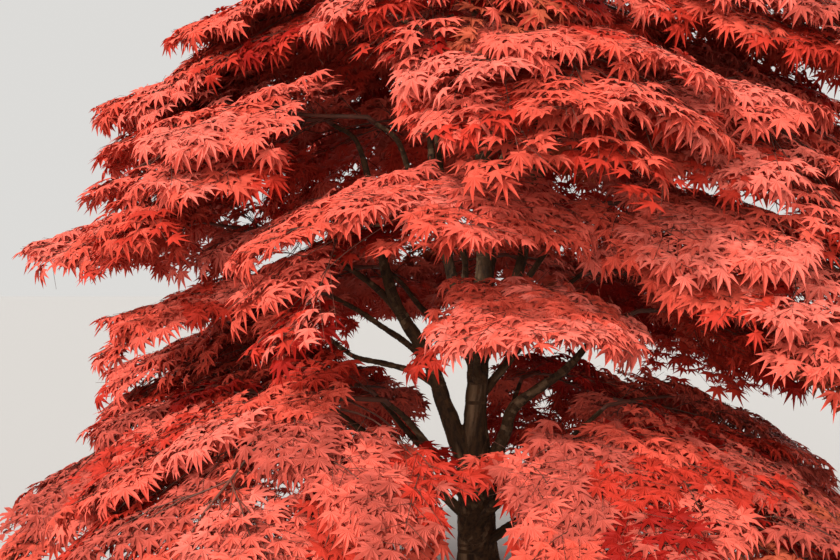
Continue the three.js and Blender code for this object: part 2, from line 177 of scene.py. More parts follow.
pads = [
    pad("crest", "left", 176, 2.6, "trunk", 1.15, 0.029, tipRadius=1.31, tipHeight=2.48,
        via=[(170, 0.11, 1.48), (172, 0.2, 2)]),
    pad("crest", "right", -22, 2.62, "trunk", 1.13, 0.03, tipRadius=1.6, tipHeight=2.45,
        via=[(-8, 0.16, 1.47), (-15, 0.25, 2)]),
    pad("upper", "left", 170, 2.16, "trunk", 0.6, 0.044, rootRadius=0.64, tipRadius=1.65,
        tipHeight=2.27, via=[(178, 0.135, 0.92), (-176, 0.212, 1.14), (-176, 0.36, 1.4)]),
    pad("middle", "right", -4, 1.33, "trunk", 0.56, 0.036, tipRadius=1.96, tipHeight=1,
        via=[(-20, 0.12, 0.83), (-18, 0.15, 0.93), (-14, 0.37, 1.1)]),

    pad("skirt", "left", -172, 0.97, "trunk", 0.43, 0.025, tipRadius=1.99, tipHeight=0.38),
    pad("skirt", "front_left", -122, 1.01, "trunk", 0.5, 0.027, tipRadius=2.03, tipHeight=0.47,
        halfWidth=0.7, pairs=4),
    pad("skirt", "front_right", -66, 0.85, "trunk", 0.4, 0.025, tipRadius=2, tipHeight=0.45,
        halfWidth=0.7, pairs=4),
    pad("skirt", "right", -14, 0.78, "trunk", 0.33, 0.024, tipRadius=1.54, tipHeight=0.4,
        halfWidth=0.56),
    pad("skirt", "back_right", 32, 0.88, "trunk", 0.44, 0.024),
    pad("skirt", "back", 70, 0.98, "trunk", 0.36, 0.024, tipHeight=0.48),
    pad("skirt", "back_left", 131, 0.93, "trunk", 0.49, 0.025),

    pad("middle", "left", -178, 1.66, "bough_upper_left", 1.34, 0.017, rootRadius=0.74,
        tipRadius=1.86, tipHeight=1.6, thin=True),
    pad("middle", "low_left", 156, 1.2, "bough_upper_left", 1.03, 0.018, rootRadius=0.7,
        tipRadius=1.8, tipHeight=0.9),
    pad("middle", "front_left", -162, 1.41, "bough_upper_left", 1.12, 0.017, tipRadius=1.56,
        tipHeight=1.28, halfWidth=0.38, rise=0.12, pairs=2, thin=True),
    pad("middle", "front", -106, 1.76, "trunk", 1.26, 0.02, rootRadius=0.5, tipRadius=1.56,
        tipHeight=1.44),
    pad("middle", "centre", -83, 1.37, "trunk", 1.06, 0.017, rootRadius=0.62, tipRadius=1.44,
        halfWidth=0.38, tipHeight=1.34, rise=0.08, pairs=2, thin=True),
    pad("middle", "front_right", -42, 1.76, "trunk", 1.1, 0.021, rootRadius=0.56, tipHeight=1.25),
    pad("middle", "back_right", 40, 1.5, "trunk", 0.96, 0.021),
    pad("middle", "back", 80, 1.58, "trunk", 1.21, 0.02, tipHeight=1.3),
    pad("middle", "back_left", 128, 1.52, "trunk", 1.08, 0.02),

    pad("upper", "front_left", -150, 2.12, "bough_crest_left", 1.64, 0.018, tipHeight=1.8,
        halfWidth=0.5),
    pad("upper", "front", -80, 2.3, "trunk", 1.69, 0.018, tipHeight=2),
    pad("upper", "front_right", -38, 2.22, "bough_crest_right", 1.62, 0.018, tipHeight=1.78),
    pad("upper", "right", 12, 2.34, "bough_crest_right", 1.8, 0.017, tipRadius=1.83,
        tipHeight=2.06),
    pad("upper", "back_right", 66, 2.18, "trunk", 1.58, 0.018),
    pad("upper", "back_left", 118, 2.24, "bough_crest_left", 1.82, 0.017),

    pad("crest", "front", -98, 2.7, "trunk", 2.18, 0.015),
    pad("crest", "back_right", 46, 2.64, "trunk", 2.01, 0.015),
    pad("crest", "back", 108, 2.68, "trunk", 2.29, 0.015),

    # the top mass has a leader on the trunk's tip, with an arm to each side
    pad("top", "spread", -75, 2.94, None, None, None, arms=(0, 180), leader=0.06),
]

padShape = {
    "middle": 0.52,  # where a pad is widest, as a share of its length
    "reach": 0.56,  # from there to where its rounded outline ends
    "sideFall": 0.3,  # how far its sides hang, as a share of the half width
    "roomReach": 0.53,  # a mass keeps to its own space
    "roomWidth": 1.12,
    "roomAbove": 0.3,
    "roomBelow": 0.3,
}

# Within a pad the leaves lie in thin sheets, one over another, less steep than the pad itself.
sheets = {
    "gap": {"skirt": 0.12, "middle": 0.16, "upper": 0.18, "crest": 0.18, "top": 0.16},
    "gapStray": 0.02,
    "tilt": {"skirt": 0.4, "middle": 0.34, "upper": 0.38, "crest": 0.42, "top": 0.4},
    "top": 0.02,  # how far the highest sheet lies under the pad's highest place
    "steps": 40,  # along the pad, where that place is looked for
    "stepsPast": 5,  # and beyond its tip
}


# A pad's own frame, as in the source: share runs from its root to its tip, side from -1 to 1.
class PadFrame:
    def __init__(self, entry, azimuth):
        self.root = polar(azimuth, entry["rootRadius"], entry["rootHeight"])
        self.outward = polar(azimuth, 1, 0)
        self.sideways = up.cross(self.outward)
        self.length = entry["tipRadius"] - entry["rootRadius"]
        self.halfWidth = entry["halfWidth"]
        self.leader = entry["leader"]
        self.rise = entry["rise"]
        self.drop = entry["tipHeight"] - entry["rootHeight"] - self.leader
        self.sideDrop = padShape["sideFall"] * self.halfWidth
        self.tilt = sheets["tilt"][entry["tier"]] * self.length
        self.gap = sheets["gap"][entry["tier"]]
        steps, tried = sheets["steps"], sheets["steps"] + sheets["stepsPast"]
        slanted = [self.height(i / steps, 0) + self.tilt * i / steps for i in range(tried)]
        self.topSheet = max(slanted) - sheets["top"]

    def height(self, share, side):
        arch = self.drop * share * share + 4 * self.rise * share * (1 - share)
        return self.root.z + self.leader + arch - self.sideDrop * side * side

    def point(self, share, side, lift=0):
        place = self.root + self.outward * (self.length * share) + self.sideways * (self.halfWidth * side)
        place.z = self.height(share, side) + lift
        return place

    def placeOf(self, point):
        offset = point - self.root
        return offset.dot(self.outward) / self.length, offset.dot(self.sideways) / self.halfWidth

    def setOff(self):
        if self.leader:
            return up.copy()
        return Vector((*(self.outward * self.length).xy, 4 * self.rise)).normalized()

    def width(self, share):
        across = (share - padShape["middle"]) / padShape["reach"]
        return math.sqrt(max(0, 1 - across * across))

    def sheetNear(self, share, gap):
        # the sheet that lies nearest the pad's surface here, as its height at the root
        under = self.topSheet - self.height(share, 0) - self.tilt * share
        return self.topSheet - gap * round(under / gap)

    def sheetHeight(self, sheet, share, side):
        return sheet - self.tilt * share - self.sideDrop * side * side

    def sheetNormal(self, side):
        aside = 2 * self.sideDrop * side / self.halfWidth
        return (self.outward * (self.tilt / self.length) + self.sideways * aside + up).normalized()

    def holds(self, point):
        share, side = self.placeOf(point)
        across = (share - padShape["middle"]) / padShape["roomReach"]
        inside = math.hypot(across, side / padShape["roomWidth"]) <= 1
        lift = point.z - self.height(share, side)
        return inside and -padShape["roomBelow"] <= lift <= padShape["roomAbove"]


def trunkRadius(height, turn=math.pi / 2):
    topHeight = trunk["middle"][-1][2]
    thinned = smoothStep(height, trunk["forkHeight"], trunk["forkHeight"] + trunk["forkLength"])
    waist = trunk["waist"] * (1 - (1 - trunk["forkShare"]) * thinned)
    taper = max(0, 1 - height / topHeight) ** trunk["taperPower"]
    flare = math.exp(-height / trunk["flareHeight"])
    depth = trunk["ridgeDepth"] * (trunk["ridgeLasting"] + (1 - trunk["ridgeLasting"]) * flare)
    ridge = 1 + depth * (1 - thinned) * math.cos(trunk["ridges"] * turn)
    return (trunk["tip"] + (waist - trunk["tip"]) * taper + trunk["flareReach"] * flare) * ridge


def boughRadius(entry, share):
    thinning = boughs["tip"] + (entry["radius"] - boughs["tip"]) * (1 - share) ** boughs["taper"]
    return thinning * (1 + boughs["collar"] * math.exp(-share * boughs["collarFade"]))


# Where each bough runs: it leaves its limb's middle, strays a little and arrives along its stem.
def boughPath(entry, padFrame, limbs, draws):
    start = limbs[entry["limb"]].atHeight(entry["leaves"])
    before = padFrame.root - padFrame.setOff() * boughs["arrival"]
    if entry["via"]:
        bends = [polar(*place) for place in entry["via"]]
    else:
        bends = [
            start.lerp(before, share)
            + padFrame.sideways * spread(draws, boughs["crook"])
            + up * (boughs["crook"] * (1 - share))
            for share in boughs["bends"]
        ]
    return LimbPath([start, *bends, before, padFrame.root])


limbs = {"trunk": LimbPath(trunk["middle"])}
padFrames = {}
for index, entry in enumerate(pads):
    padFrames[entry["name"]] = [PadFrame(entry, entry["azimuth"] + arm) for arm in entry["arms"]]
    if entry["limb"]:
        draws = seeded(boughs["seedFirst"] + index * boughs["seedStep"])
        limbs["bough_" + entry["name"]] = boughPath(entry, padFrames[entry["name"]][0], limbs, draws)

entryOf = {"bough_" + entry["name"]: entry for entry in pads}


def limbRadius(name, share):
    if name == "trunk":
        return trunkRadius(limbs[name].at(share).z)
    return boughRadius(entryOf[name], share)


limbStep = 0.02  # between two places on a limb
fewestPlaces = 8
limbPlaces = []  # close together along every limb: the middle, the direction and the radius
for name, path in limbs.items():
    for share in np.linspace(0, 1, max(fewestPlaces, round(path.length / limbStep))):
        limbPlaces.append((path.at(share), path.along(share), limbRadius(name, share)))
limbTree = kdtree.KDTree(len(limbPlaces))
for i, (point, _, _) in enumerate(limbPlaces):
    limbTree.insert(point, i)
limbTree.balance()
print("limbs laid out:", len(limbs))


# The bark: limbs swept as tubes, fused, smoothed, and given their relief.
bark = {
    "trunkSides": 44,
    "trunkRings": 130,
    "boughSides": 14,
    "boughGap": 0.018,  # between two rings of a bough
    "fewestRings": 6,
    "voxel": 0.0056,
    "smoothing": 0.5,
    "smoothingRounds": 4,
    "stretch": 0.86,  # how far the grain is drawn out along a limb, as a share
    "furrowScale": 95,
    "furrowOctaves": (0.6, 2.2, 3),  # how much rougher, how much finer, and how many
    "furrowDepth": 0.0024,
    "lumpScale": 16,
    "lumpDepth": 0.0045,
    "depthShare": 0.13,  # relief is never deeper than this share of the limb's radius
    "footKeep": 0.012,  # the relief fades out over the ground, so the foot stays flat
    "fused": ["trunk", "bough_crest_left", "bough_crest_right", "bough_upper_left",
              "bough_middle_right"],
}


def sweepTube(bm, rings):
    # a circle's edge is extruded from ring to ring, and both ends are filled
    place = bm.verts.layers.int.get("place") or bm.verts.layers.int.new("place")
    first = bmesh.ops.create_circle(bm, cap_ends=True, segments=len(rings[0]), radius=1)["verts"]
    for k, vert in enumerate(first):
        vert[place] = k
        vert.co = rings[0][k]
    edges = list({edge for vert in first for edge in vert.link_edges})
    for ring in rings[1:]:
        grown = bmesh.ops.extrude_edge_only(bm, edges=edges)["geom"]
        for vert in [item for item in grown if isinstance(item, bmesh.types.BMVert)]:
            vert.co = ring[vert[place]]
        edges = [item for item in grown if isinstance(item, bmesh.types.BMEdge)]
    bmesh.ops.edgeloop_fill(bm, edges=edges)


def trunkRings():
    rings = []
    for i in range(bark["trunkRings"] + 1):
        middle = limbs["trunk"].at(i / bark["trunkRings"])
        ring = []
        for k in range(bark["trunkSides"]):
            turn = k / bark["trunkSides"] * math.tau
            radius = trunkRadius(middle.z, turn)
            ring.append(middle + Vector((radius * math.cos(turn), radius * math.sin(turn), 0)))
        rings.append(ring)
    return rings


def boughRings(name):
    path = limbs[name]
    steps = max(bark["fewestRings"], round(path.length / bark["boughGap"]))
    turns = [k / bark["boughSides"] * math.tau for k in range(bark["boughSides"])]
    across = path.along(0).orthogonal().normalized()
    rings = []
    for i in range(steps + 1):
        share = i / steps
        ahead = path.along(share)
        across = (across - ahead * across.dot(ahead)).normalized()
        beside = ahead.cross(across)
        radius = limbRadius(name, share)
        middle = path.at(share)
        rings.append([middle + (across * math.cos(t) + beside * math.sin(t)) * radius for t in turns])
    return rings


def newObject(name, mesh):
    piece = bpy.data.objects.new(name, mesh)
    bpy.context.scene.collection.objects.link(piece)
    return piece


def fuseLimbs(name, limbNames):
    bm = bmesh.new()
    for limb in limbNames:
        sweepTube(bm, trunkRings() if limb == "trunk" else boughRings(limb))
    bmesh.ops.recalc_face_normals(bm, faces=bm.faces)
    mesh = bpy.data.meshes.new(name)
    bm.to_mesh(mesh)
    bm.free()
    rough = newObject(name, mesh)
    remesh = rough.modifiers.new("fuse", "REMESH")
    remesh.mode = "VOXEL"
    remesh.voxel_size = bark["voxel"]
    smooth = rough.modifiers.new("smooth", "SMOOTH")
    smooth.factor = bark["smoothing"]
    smooth.iterations = bark["smoothingRounds"]
    depsgraph = bpy.context.evaluated_depsgraph_get()
    fused = bpy.data.meshes.new_from_object(rough.evaluated_get(depsgraph))
    fused.name = name
    rough.modifiers.clear()
    rough.data = fused
    bpy.data.meshes.remove(mesh)
    return rough


def carveBark(piece):
    # furrows run along each limb; the same drawn-out place is kept for the material
    mesh = piece.data
    grain = mesh.attributes.new("grain", "FLOAT_VECTOR", "POINT")
    normals = [vert.normal.copy() for vert in mesh.vertices]
    places = np.zeros((len(mesh.vertices), 3), np.float32)
    for i, vert in enumerate(mesh.vertices):
        _, ahead, radius = limbPlaces[limbTree.find(vert.co)[1]]
        drawn = vert.co - ahead * (vert.co.dot(ahead) * bark["stretch"])
        places[i] = drawn
        limit = bark["depthShare"] * radius
        furrow = noise.fractal(drawn * bark["furrowScale"], *bark["furrowOctaves"])
        lump = noise.noise(vert.co * bark["lumpScale"])
        depth = min(limit, bark["furrowDepth"]) * furrow + min(limit, bark["lumpDepth"]) * lump
        vert.co += normals[i] * (depth * smoothStep(vert.co.z, 0, bark["footKeep"]))
        vert.co.z = max(0, vert.co.z)
    grain.data.foreach_set("vector", places.ravel())
    mesh.shade_smooth()


# The foliage. A stem runs through every pad, under its sheets of leaves.
stems = {
    "stray": 0.07,
    "bends": [0.34, 0.67],
    "start": 0.04,
    "clearance": 0.0003,
    "tip": 0.004,
    "rings": 12,
    "sides": 7,
    "leafLength": 0.285,  # of the source's large leaf, which stands for a spray
    "heel": 0.12,
    "firstTwigs": 0.1,
    "lastTwigs": 0.66,
    "lead": 0.2,
    "leadStray": 0.04,
    "reach": 0.74,
    "reachStray": 0.06,
    "lastRoot": 0.97,
    "sprays": [0.04, 0.2, 0.36, 0.52, 0.68, 0.84],
    "spraySize": 0.95,
    "sprayTurn": (18, 42),
    "upright": 0.2,  # a stem whose level share is less than this has no heading of its own
    "seedFirst": 503,
    "seedStep": 31,
}

# Twigs leave the stem in pairs. Low ones, in the shade, lie under the others, and their leaves get darker
# tints as painted shade.
twigs = {
    "steps": 12,
    "places": 9,  # along a twig, where its room is tried
    "passed": 3,  # the first of them lie against the stem
    "needed": 4,  # a twig that gets less far is left out
    "rings": 8,
    "sides": 4,
    "thinning": 0.7,  # the radius at a twig's root, as a share of the stem's
    "tip": 0.0015,
    "half": 0.5,  # where its bend is, along it and aside
    "further": 0.05,
    "lastSide": 0.93,  # how far out the twigs go, as a share of the outline
    "last": 0.97,  # and how far along the pad
    "sprays": [0.14, 0.36, 0.58, 0.8],
    "leaderSprays": [0.2, 0.5, 0.8],
    "leaderSize": 0.9,
    "lowLayer": -0.1,  # how far the low twigs lie under the others
    "lowSprays": [0.3, 0.6],
    "lowFurther": 0.05,
    "lowHalf": (0.6, 0.42, 0.7),  # along it, aside and down
    "lowEnd": (0.04, 0.85),
    "lowThinning": 0.6,
    "lowLeader": (0.6, 0.003),  # where it leaves the stem, and its radius there
    "upright": 0.05,  # a twig whose level share is less than this has no side of its own
}

sprays = {
    "length": 0.36,
    "lengthStray": 0.07,
    "steps": 6,
    "needed": 3,  # steps with room that a spray needs
    "bend": 0.1,
    "nodeGap": 0.066,
    "nodeEnds": (0.8, 0.3),  # gaps before the first node, and gaps added to the row
    "turn": (34, 58),  # degrees between a twig and its sprays
    "outwards": 0.45,  # how strongly the sprays turn outwards
    "ahead": 0.05,
    "lastAhead": 0.1,
    "lastSize": 0.8,
    "fall": 0.04,  # how far a spray's end hangs under its sheet
    "fallStray": (0.5, 1.5),
    "sheetStray": 0.02,
    "endTurns": (-42, 0, 42),  # of the leaves at its end
    "fewest": 8,  # a spray with fewer leaves than this is left out
    "wood": (0.0022, 0.001, 3),  # radius at the root, radius at the tip, and sides
}

twiglets = {
    "length": 0.16,
    "lengthStray": (0.75, 1.15),
    "swell": (0.22, 0.72, 0.8),  # lengths follow a half wave: its start, how much of it, and a power
    "openAngle": 46,  # degrees between the spray's axis and a twiglet
    "openStray": 10,
    "steps": 2,
    "bend": 0.05,
    "fall": 0.012,
    "leafGap": 0.084,  # between two pairs of leaves
    "leafEnds": (0.7, 0.35),  # as a spray's nodes have
    "endings": (0.1, 0.6),  # how far a leaf counts as an end one, in a pair and at the tip
    "shortest": 0.07,  # a shorter one has leaves and no wood
    "wood": (0.0012, 0.0008, 3),
}

leafShape = {
    "size": 0.074,  # from the middle of the leaf to the tip of its middle lobe
    "sizeStray": 0.012,
    "pitch": 3,  # degrees that a leaf hangs below its sheet
    "endPitch": 30,  # and how much more at the end of a spray
    "rimEnding": 0.5,  # nearer the end than this, a leaf droops as those on the rim do
    "pitchStray": 8,
    "roll": 12,
    "pairTurn": 50,
    "pairStray": 12,
    "stalk": 0.42,  # as a share of the size, as all lengths below
    "stalkWidth": 0.022,
    "stalkHeight": 0.04,
    "lobes": [(0, 1.0), (37, 0.93), (76, 0.74)],  # degrees from the middle lobe, and length
    "lobeTurn": 4,
    "lobeStray": (0.92, 1.06),
    "backLobe": (118, 0.4, -0.1),  # degrees, length and height of its tip
    "heel": (160, 0.1, 0),
    "sinus": (0.33, -0.03),  # how far out and how high the leaf is between two lobes
    "outerSinus": 20,  # degrees past the side lobe
    "shoulder": 0.55,  # where a lobe is widest, as a share of its length
    "shoulderWidth": 0.1,
    "shoulderShares": (0.6, 0.4),  # of that width for every lobe, and by its length
    "droops": [0.16, 0.46],  # of a leaf in the sheet, and of one on its rim
    "droopStray": (0.6, 1.5),
    "fold": 0.05,
    "kinds": 3,
    "seed": 7,
}

limbGap = 0.018  # leaves keep this far from a limb
widestLimb = 0.17
boxSlack = 0.02  # how far leaves may stand out of the solids' box
lowest = 0.06  # and how near they come to the ground

# The crown is open here, so that the trunk shows from the front and light comes in from behind.
# A clearing's floor rises to either side of its middle, as the slopes of a valley do.
clearings = [
    {"low": (-0.5, -1.9, 0.87), "high": (0.28, -0.05, 1.56), "middle": -0.08, "slope": 0.58},
    {"low": (-0.6, 0.1, 0.7), "high": (0.1, 2.2, 1.26), "middle": 0, "slope": 0.77},
    {"low": (-0.66, -1.9, 1.86), "high": (-0.34, -0.5, 2.2), "middle": 0, "slope": 0},
    {"low": (-0.17, -1.9, 0.64), "high": (0.02, -0.2, 0.8), "middle": 0, "slope": 0},
]
overhanging = "middle_centre"  # this mass alone hangs into the front clearing

tintNames = ["coral", "salmon", "scarlet", "crimson", "maroon", "russet", "rose"]
tintShares = {
    # painted light: sprays of the upper crown get mostly bright coral and salmon tints
    "upper": [0.5, 0.26, 0.2, 0.03, 0, 0.01, 0],
    # painted shade: low sprays, and those deep in the crown, get dark crimson and maroon tints
    "paintedShade": [0.06, 0, 0.26, 0.46, 0.2, 0.02, 0],
    # painted shade: the skirts get darker tints, much of them rose
    "skirt": [0.24, 0.06, 0.16, 0.06, 0.02, 0.02, 0.44],
    # painted shade: the right skirt gets more crimson and maroon than the left
    "paintedShadeRightSkirt": [0.08, 0, 0.16, 0.2, 0.1, 0.04, 0.42],
    "right": [0.26, 0.08, 0.18, 0.08, 0.02, 0.12, 0.26],
}
skirtHeight = 1.15  # sprays lower than this belong to a skirt, which is given darker tints as painted shade
skirtSide = 0.15  # and to the right one from here on, darker still as painted shade
rightSide = 1.15  # higher sprays belong to the crown's right side from here on
paintedShadeHollow = {"low": 0.98, "high": 1.3, "reach": 1.25}  # between two tiers, sprays this far in get darker tints as painted shade

# The twigs and leaves of every pad are gathered here before they are joined.
twigRows = []
leafRows = []


def chooseTint(rng, point, low):
    # tints follow where a spray grows: bright ones as painted light on the upper crown, darker ones as
    # painted shade low down, inside and on the skirts
    place = "upper"
    if low or (paintedShadeHollow["low"] < point.z < paintedShadeHollow["high"] and point.xy.length < paintedShadeHollow["reach"]):
        place = "paintedShade"
    elif point.z < skirtHeight:
        place = "paintedShadeRightSkirt" if point.x > skirtSide else "skirt"
    elif point.x > rightSide:
        place = "right"
    return int(rng.choice(len(tintNames), p=tintShares[place]))


boxLow = Vector(cadBox[0]) - Vector((boxSlack, boxSlack, 0))
boxHigh = Vector(cadBox[1]) + Vector((boxSlack, boxSlack, boxSlack))
boxLow.z = lowest


def within(point, low, high):
    return all(a < value < b for a, value, b in zip(low, point, high))


def isCleared(point):
    for gap in clearings:
        floor = gap["low"][2] + gap["slope"] * abs(point.x - gap["middle"])
        if point.z > floor and within(point, gap["low"], gap["high"]):
            return True
    return False


def isFree(mass, padFrame, point):
    # whether a mass may have a twig or a leaf here
    if not padFrame.holds(point) or not within(point, boxLow, boxHigh):
        return False
    if mass != overhanging and isCleared(point):
        return False
    for _, i, apart in limbTree.find_range(point, widestLimb + limbGap):
        if apart < limbPlaces[i][2] + limbGap:
            return False
    return True


# One mass: its name, its group of pieces, the frame of the arm that grows, and its own chances.
class Mass:
    def __init__(self, name, group, padFrame, rng):
        self.name = name
        self.group = group
        self.padFrame = padFrame
        self.rng = rng
        self.gap = padFrame.gap + self.stray(sheets["gapStray"])

    def free(self, point):
        return isFree(self.name, self.padFrame, point)

    def stray(self, reach):
        return self.rng.uniform(-1, 1) * reach

    def twig(self, points, base, tip, sides):
        twigRows.append((self.group, points, base, tip, sides))

    # A leaf lies in its sheet, or hangs over its rim, and says whether it had room.
    def leaf(self, at, heading, ending, tint, low):
        normal = self.padFrame.sheetNormal(self.padFrame.placeOf(at)[1])
        ahead = (heading - normal * heading.dot(normal)).normalized()
        left = normal.cross(ahead)
        pitch = leafShape["pitch"] + leafShape["endPitch"] * ending
        pitch = math.radians(pitch + self.rng.normal(0, leafShape["pitchStray"]))
        ahead = ahead * math.cos(pitch) - normal * math.sin(pitch)
        left = Matrix.Rotation(math.radians(self.stray(leafShape["roll"])), 3, ahead) @ left
        size = leafShape["size"] + self.stray(leafShape["sizeStray"])
        kinds = leafShape["kinds"]
        kind = kinds * (2 * low + (ending > leafShape["rimEnding"])) + int(self.rng.integers(kinds))
        middle = at + ahead * (size * leafShape["stalk"])
        tip = middle + ahead * size
        if not (self.free(middle) and self.free(tip)):
            return False
        leafRows.append((self.group, kind, tint, *at, *ahead, *left, size))
        return True

    # A heading followed along a sheet: the start's distance from the sheet fades, and the end hangs.
    def follow(self, start, heading, length, sheet, fall, steps, bend):
        padFrame = self.padFrame
        off = start.z - padFrame.sheetHeight(sheet, *padFrame.placeOf(start))
        points = [start.copy()]
        at = start.copy()
        for i in range(1, steps + 1):
            u = i / steps
            heading = (heading + Vector((at.x, at.y, 0)).normalized() * bend).normalized()
            at = at + heading * (length / steps)
            at.z = padFrame.sheetHeight(sheet, *padFrame.placeOf(at)) + off * (1 - u) ** 2 - fall * u * u
            points.append(at.copy())
        return points

    def twiglet(self, start, heading, length, sheet, tint, low):
        manner = [twiglets[key] for key in ("fall", "steps", "bend")]
        points = self.follow(start, heading, length, sheet, *manner)
        forward = (points[-1] - points[-2]).normalized()
        inPair, atTip = twiglets["endings"]
        held = self.leaf(points[-1], forward, atTip, tint, low)
        pairs = round(length / twiglets["leafGap"])
        before, after = twiglets["leafEnds"]
        for k in range(pairs):
            at = points[0].lerp(points[-1], (k + before) / (pairs + after))
            for hand in (1, -1):
                turn = hand * (leafShape["pairTurn"] + self.stray(leafShape["pairStray"]))
                held |= self.leaf(at, turned(forward, turn), inPair, tint, low)
        if held and length > twiglets["shortest"] and self.free(points[-1]):
            self.twig([points[0], points[-1]], *twiglets["wood"])

    def spray(self, start, heading, size, low):
        length = size * (sprays["length"] + self.stray(sprays["lengthStray"]))
        share = self.padFrame.placeOf(start + heading * length)[0]
        sheet = self.padFrame.sheetNear(share, self.gap) - (self.gap if low else 0)
        sheet += self.stray(sprays["sheetStray"])
        fall = sprays["fall"] * self.rng.uniform(*sprays["fallStray"])
        steps, needed = sprays["steps"], sprays["needed"]
        points = self.follow(start, heading, length, sheet, fall, steps, sprays["bend"])
        free = [self.free(point) for point in points]
        if not all(free[1:needed + 1]):
            return False
        last = lastFree(free, needed)
        points = points[:last + 1]
        tint = chooseTint(self.rng, points[needed], low)
        held = len(leafRows)
        nodes = max(2, round(length * last / steps / sprays["nodeGap"]))
        before, after = sprays["nodeEnds"]
        for k in range(nodes):
            u = (k + before) / (nodes + after)
            i = min(last - 1, int(u * last))
            at = points[i].lerp(points[i + 1], u * last - i)
            level = levelOf(points[i], points[i + 1])
            first, across, power = twiglets["swell"]
            reach = twiglets["length"] * size * math.sin(math.pi * (first + across * u)) ** power
            for hand in (1, -1):
                angle = hand * (twiglets["openAngle"] + self.stray(twiglets["openStray"]))
                own = reach * self.rng.uniform(*twiglets["lengthStray"])
                self.twiglet(at, turned(level, angle), own, sheet, tint, low)
        ahead = (points[-1] - points[-2]).normalized()
        for turn in sprays["endTurns"]:
            self.leaf(points[-1], turned(ahead, turn), 1, tint, low)
        if len(leafRows) < held + sprays["fewest"]:
            del leafRows[held:]
            return False
        self.twig(points, *sprays["wood"])
        return True

    # Sprays leave a twig to either hand, and one ends it. It says how far out the last of them is.
    def sprayTwig(self, path, shares, end, size, low):
        hand = 1 if self.rng.random() < 0.5 else -1
        reached = 0
        for share in shares:
            if share > end:
                break
            level = levelOf(path.at(share), path.at(min(1, share + sprays["ahead"])))
            heading = turned(level, hand * self.rng.uniform(*sprays["turn"]))
            heading += self.padFrame.outward * sprays["outwards"]
            if self.spray(path.at(share), heading.normalized(), size, low):
                reached = share
            hand = -hand
        level = levelOf(path.at(end - sprays["lastAhead"]), path.at(end))
        if self.spray(path.at(end), level, size * sprays["lastSize"], low):
            reached = end
        return reached

    # A twig over the pad's surface, from its root on the stem, as far as it has room and leaves.
    def growTwig(self, points, base, shares, size, low):
        path = LimbPath(points, twigs["steps"])
        places = twigs["places"]
        free = [self.free(path.at(i / places)) for i in range(places + 1)]
        last = lastFree(free, twigs["passed"])
        if last < twigs["needed"]:
            return
        reached = self.sprayTwig(path, shares, last / places, size, low)
        rings = twigs["rings"]
        if reached:
            line = [path.at(reached * i / rings) for i in range(rings + 1)]
            self.twig(line, base, twigs["tip"], twigs["sides"])


def lastFree(free, first):
    # the last of a row of places before one without room, looked for from the first given
    return free.index(False, first) - 1 if False in free[first:] else len(free) - 1


def levelOf(a, b):
    return Vector((b.x - a.x, b.y - a.y, 0)).normalized()


# An arm draws what the source draws. The size of a large leaf is among that, and is passed over.
def growArm(mass, entry, draws):
    padFrame = mass.padFrame
    pairs = entry["pairs"]
    stray = [spread(draws, stems["stray"]), spread(draws, stems["stray"])]
    next(draws)  # the leaf at the stem's end
    stemEnd = 1 - stems["leafLength"] * (1 + stems["heel"]) / padFrame.length
    start = padFrame.root + padFrame.setOff() * stems["clearance"]
    under = -padFrame.gap / 2  # the wood lies under the sheets that it carries
    low = under + twigs["lowLayer"]
    stem = LimbPath([
        start + padFrame.setOff() * (padFrame.leader or stems["start"]),
        *[padFrame.point(share * stemEnd, side, under) for share, side in zip(stems["bends"], stray)],
        padFrame.point(stemEnd, 0, under),
    ])
    line = [stem.at(i / stems["rings"]) for i in range(stems["rings"] + 1)]
    mass.twig([start] + line, boughs["tip"], stems["tip"], stems["sides"])

    # the leader carries the stem on to the pad's tip, with a lower one under it
    ends = [lerp(stemEnd, twigs["last"], k / 3) for k in (1, 2, 3)]
    leader = [padFrame.point(share, 0, under) for share in ends]
    mass.growTwig([stem.at(1), *leader], stems["tip"], twigs["leaderSprays"], twigs["leaderSize"], False)
    if not entry["thin"]:
        leaves, base = twigs["lowLeader"]
        lower = [padFrame.point(share, 0, low) for share in ends[:2]]
        mass.growTwig([stem.at(leaves), *lower], base, twigs["lowSprays"], twigs["leaderSize"], True)

    for pair in range(pairs):
        share = lerp(stems["firstTwigs"], stems["lastTwigs"], pair / (pairs - 1))
        root = stem.at(min(share / stemEnd, stems["lastRoot"]))
        lowRoot = stem.at(min((share + twigs["lowFurther"]) / stemEnd, stems["lastRoot"]))
        base = twigs["thinning"] * lerp(boughs["tip"], stems["tip"], share / stemEnd)
        for hand in (1, -1):
            endShare = share + stems["lead"] + spread(draws, stems["leadStray"])
            reach = stems["reach"] + spread(draws, stems["reachStray"])
            endSide = hand * padFrame.width(endShare) * reach
            next(draws)  # the leaf at the twig's end
            far = min(twigs["last"], endShare + twigs["further"])
            farSide = hand * padFrame.width(far) * twigs["lastSide"]
            half = padFrame.point(lerp(share, endShare, twigs["half"]), endSide * twigs["half"], under)
            ends = [padFrame.point(endShare, endSide, under), padFrame.point(far, farSide, under)]
            mass.growTwig([root, half, *ends], base, twigs["sprays"], 1, False)
            if entry["thin"]:
                continue
            along, aside, down = twigs["lowHalf"]
            half = padFrame.point(lerp(share, endShare, along), endSide * aside, low * down)
            further, aside = twigs["lowEnd"]
            end = padFrame.point(endShare + further, endSide * aside, low)
            mass.growTwig([lowRoot, half, end], base * twigs["lowThinning"], twigs["lowSprays"], 1, True)
    for _ in range(pairs - 1):
        next(draws)  # the leaves between the pairs

    # short sprays cover the stem itself
    for k, share in enumerate(stems["sprays"]):
        ahead = stem.along(share)
        level = Vector((ahead.x, ahead.y, 0))
        if level.length < stems["upright"]:
            level = padFrame.outward.copy()
        turn = (1 if k % 2 else -1) * mass.rng.uniform(*stems["sprayTurn"])
        mass.spray(stem.at(share), turned(level.normalized(), turn), stems["spraySize"], False)


